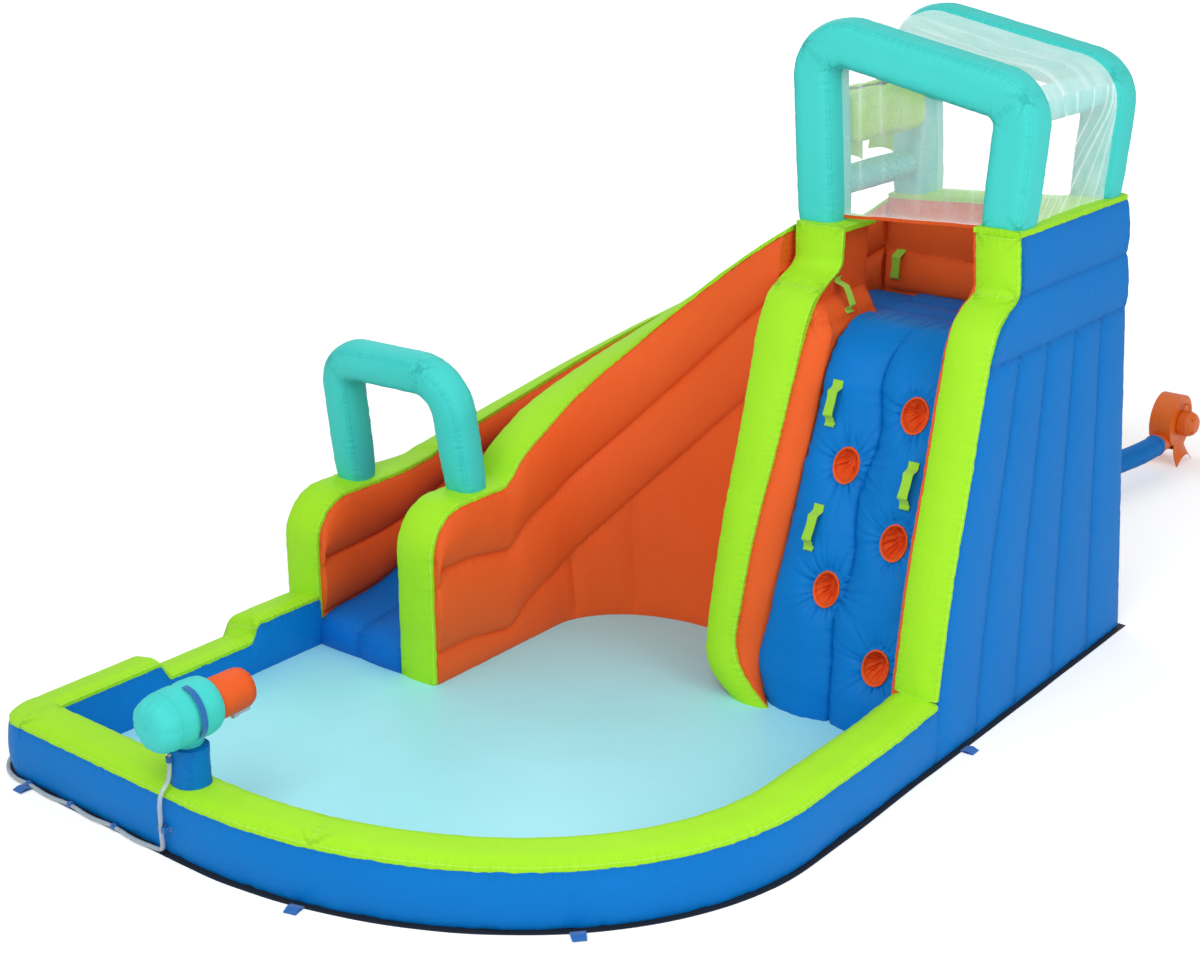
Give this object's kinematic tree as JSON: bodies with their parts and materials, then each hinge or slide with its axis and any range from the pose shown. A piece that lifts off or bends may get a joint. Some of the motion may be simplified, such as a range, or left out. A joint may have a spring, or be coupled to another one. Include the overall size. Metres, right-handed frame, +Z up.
{
  "type": "inflatable water park",
  "caption": "Inflatable garden water park: splash pool, curved slide, climbing wall with footholds, netted tower, tipping bucket, turning water cannon and a blower",
  "frame": {"origin": "on the ground, under the middle of the whole park's bounding box", "axes": "+Z up; +Y from the pool to the tower and the blower behind it, the longest side; +X from the slide's side to the tower's right wall"},
  "size_m": [2.95, 6.3926, 2.6358],
  "materials": {
    "lime_fabric": "smooth coated polyester with a low sheen",
    "blue_fabric": "smooth coated polyester with a low sheen",
    "deep_blue_fabric": "slippery laminated vinyl on the slide bed",
    "orange_fabric": "smooth coated polyester with a low sheen",
    "teal_fabric": "smooth coated polyester with a low sheen",
    "aqua_floor": "smooth laminated vinyl floor",
    "black_sheet": "dull woven ground sheet",
    "white_net": "fine white safety mesh",
    "green_webbing": "woven webbing",
    "bucket_fabric": "smooth coated polyester with a low sheen",
    "blue_webbing": "woven webbing",
    "clear_vinyl": "clear flexible tubing",
    "orange_plastic": "moulded plastic with a fine grain",
    "grey_plastic": "moulded plastic with a fine grain"
  },
  "bodies": {
    "park": {"ground_sheet": "black_sheet", "pool_floor": "aqua_floor", "pool_wall_front": "blue_fabric", "pool_top_front": "lime_fabric", "pool_wall_left": "blue_fabric", "pool_top_left": "lime_fabric", "slide_near_wall": "orange_fabric", "slide_near_trim": "lime_fabric", "slide_far_wall": "orange_fabric", "slide_far_trim": "lime_fabric", "slide_bed": "deep_blue_fabric", "slide_arch": "teal_fabric", "tower_right_wall": "blue_fabric", "tower_right_liner": "orange_fabric", "climb_strip_right": "lime_fabric", "rim_right": "lime_fabric", "tower_left_wall": "orange_fabric", "climb_strip_left": "lime_fabric", "tower_back_wall": "blue_fabric", "tower_back_liner": "orange_fabric", "rim_back": "lime_fabric", "platform": "blue_fabric", "climb_wall": "blue_fabric", "foothold_1": "orange_fabric", "foothold_2": "orange_fabric", "foothold_3": "orange_fabric", "foothold_4": "orange_fabric", "foothold_5": "orange_fabric", "hand_loop_1": "green_webbing", "hand_loop_2": "green_webbing", "hand_loop_3": "green_webbing", "hand_loop_4": "green_webbing", "hand_loop_5": "green_webbing", "front_arch": "teal_fabric", "rear_arch": "teal_fabric", "entry_bar": "teal_fabric", "roof_bar": "teal_fabric", "canopy_net": "white_net", "front_net": "white_net", "front_hem": "orange_fabric", "rear_net": "white_net", "bucket_pin_front": "grey_plastic", "bucket_pin_rear": "grey_plastic", "cannon_post": "blue_fabric", "water_hose": "clear_vinyl", "hose_connector": "orange_plastic", "hose_loop": "blue_webbing", "housing_left": "orange_plastic", "housing_right": "orange_plastic", "intake_grille": "orange_plastic", "motor": "orange_plastic", "blower_handle": "orange_plastic", "inflation_sleeve": "blue_fabric", "sleeve_strap": "blue_webbing"},
    "bucket": {"drench_bucket": "bucket_fabric"},
    "cannon": {"cannon_body": "teal_fabric", "cannon_barrel": "orange_fabric", "cannon_strap": "blue_webbing", "cannon_nozzle": "clear_vinyl"},
    "impeller": {"impeller": "grey_plastic"}
  },
  "joints": [
    {"name": "bucket_swing", "type": "hinge", "parent": "park", "child": "bucket", "pos_m": [0.30337, 0.2375, 2.26], "axis": [0, 1, 0], "range_deg": [-100, 100]},
    {"name": "cannon_turn", "type": "hinge", "parent": "park", "child": "cannon", "pos_m": [-0.34, -3.045, 0.515], "axis": [0, 0, 1], "range_deg": [-40, 40], "stiffness_Nm_per_rad": 4},
    {"name": "impeller_spin", "type": "hinge", "parent": "park", "child": "impeller", "pos_m": [0.655, 3.02, 0.225], "axis": [1, 0, 0], "continuous": true}
  ]
}
